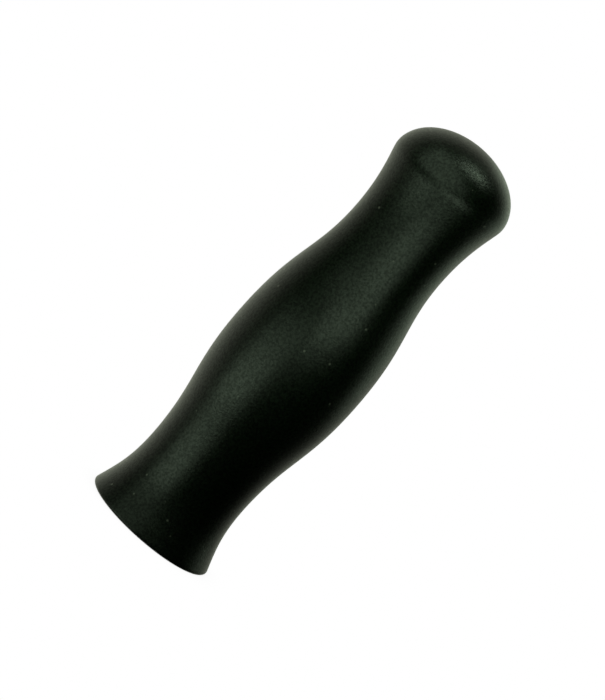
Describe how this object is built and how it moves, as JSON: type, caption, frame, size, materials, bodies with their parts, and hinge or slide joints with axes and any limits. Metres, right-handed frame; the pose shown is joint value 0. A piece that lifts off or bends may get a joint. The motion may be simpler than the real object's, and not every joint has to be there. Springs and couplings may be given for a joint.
{
  "type": "winch handle grip",
  "caption": "Free-spinning, double-waisted hand grip of a sailing winch handle, with a domed end, a flared open end and a recessed bearing spindle that bolts to the arm.",
  "frame": {"origin": "centre of the flat rim at the grip's open end, which the grip stands on", "axes": "+Z along the spin axis from the open end to the dome; +X through the gap of the snap ring"},
  "size_m": [0.039, 0.039, 0.13],
  "materials": {
    "jacket": "soft-touch satin black, fine moulded grain",
    "core_nylon": "matte black glass-filled nylon",
    "stainless": "turned stainless steel",
    "bearing_steel": "ground and polished bearing steel",
    "spring_steel": "dark phosphated spring steel",
    "seal_rubber": "matte nitrile rubber",
    "cage_nylon": "natural nylon"
  },
  "bodies": {
    "spindle_assembly": {"spindle": "stainless", "spacer_tube": "stainless", "spindle_shim": "bearing_steel", "spindle_circlip": "spring_steel", "inboard_inner_ring": "bearing_steel", "outboard_inner_ring": "bearing_steel"},
    "grip": {"grip_jacket": "jacket", "grip_core": "core_nylon", "core_snap_ring": "spring_steel", "inboard_outer_ring": "bearing_steel", "inboard_arm_side_seal": "seal_rubber", "inboard_dome_side_seal": "seal_rubber", "outboard_outer_ring": "bearing_steel", "outboard_arm_side_seal": "seal_rubber", "outboard_dome_side_seal": "seal_rubber"},
    "inboard_cage": {"inboard_ball_cage": "cage_nylon", "inboard_ball_01": "bearing_steel", "inboard_ball_02": "bearing_steel", "inboard_ball_03": "bearing_steel", "inboard_ball_04": "bearing_steel", "inboard_ball_05": "bearing_steel", "inboard_ball_06": "bearing_steel", "inboard_ball_07": "bearing_steel", "inboard_ball_08": "bearing_steel", "inboard_ball_09": "bearing_steel", "inboard_ball_10": "bearing_steel"},
    "outboard_cage": {"outboard_ball_cage": "cage_nylon", "outboard_ball_01": "bearing_steel", "outboard_ball_02": "bearing_steel", "outboard_ball_03": "bearing_steel", "outboard_ball_04": "bearing_steel", "outboard_ball_05": "bearing_steel", "outboard_ball_06": "bearing_steel", "outboard_ball_07": "bearing_steel", "outboard_ball_08": "bearing_steel", "outboard_ball_09": "bearing_steel", "outboard_ball_10": "bearing_steel", "outboard_ball_11": "bearing_steel", "outboard_ball_12": "bearing_steel"}
  },
  "joints": [
    {"name": "grip_spin", "type": "hinge", "parent": "spindle_assembly", "child": "grip", "pos_m": [0, 0, 0], "axis": [0, 0, 1], "continuous": true},
    {"name": "inboard_cage_spin", "type": "hinge", "parent": "spindle_assembly", "child": "inboard_cage", "pos_m": [0, 0, 0.012], "axis": [0, 0, 1], "continuous": true},
    {"name": "outboard_cage_spin", "type": "hinge", "parent": "spindle_assembly", "child": "outboard_cage", "pos_m": [0, 0, 0.1065], "axis": [0, 0, 1], "continuous": true}
  ],
  "couplings": [
    {"joint": "inboard_cage_spin", "follows": "grip_spin", "ratio": 0.5972},
    {"joint": "outboard_cage_spin", "follows": "grip_spin", "ratio": 0.5721}
  ]
}
